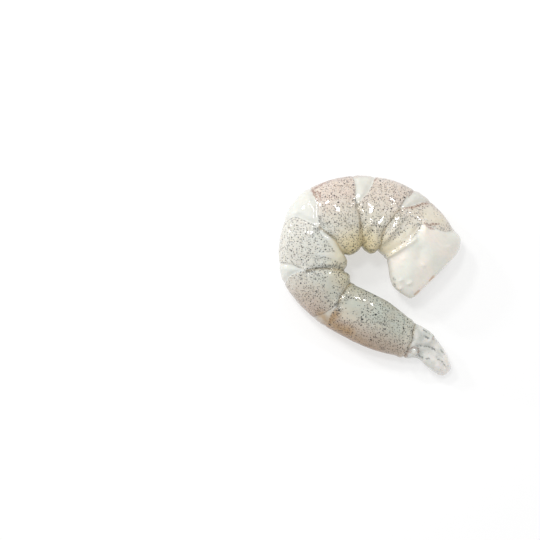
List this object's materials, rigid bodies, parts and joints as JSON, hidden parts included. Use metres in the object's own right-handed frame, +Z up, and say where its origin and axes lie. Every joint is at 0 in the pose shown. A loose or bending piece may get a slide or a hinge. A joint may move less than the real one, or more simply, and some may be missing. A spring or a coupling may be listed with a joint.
{
  "type": "raw peeled whiteleg shrimp",
  "caption": "Raw peeled whiteleg shrimp: a headless tail of wet flesh, curled up and lying on its side, with a soft stub left of the tail fan.",
  "frame": {"origin": "middle of the footprint, on the surface that the shrimp lies on", "axes": "+Z up, along the animal's left-right axis; +Y from the tail stub towards the top of the curl; +X towards the cut neck"},
  "size_m": [0.0512, 0.0566, 0.0155],
  "materials": {
    "raw_flesh": "wet, slightly translucent raw flesh"
  },
  "bodies": {
    "root": {"shrimp": "raw_flesh"}
  },
  "joints": []
}
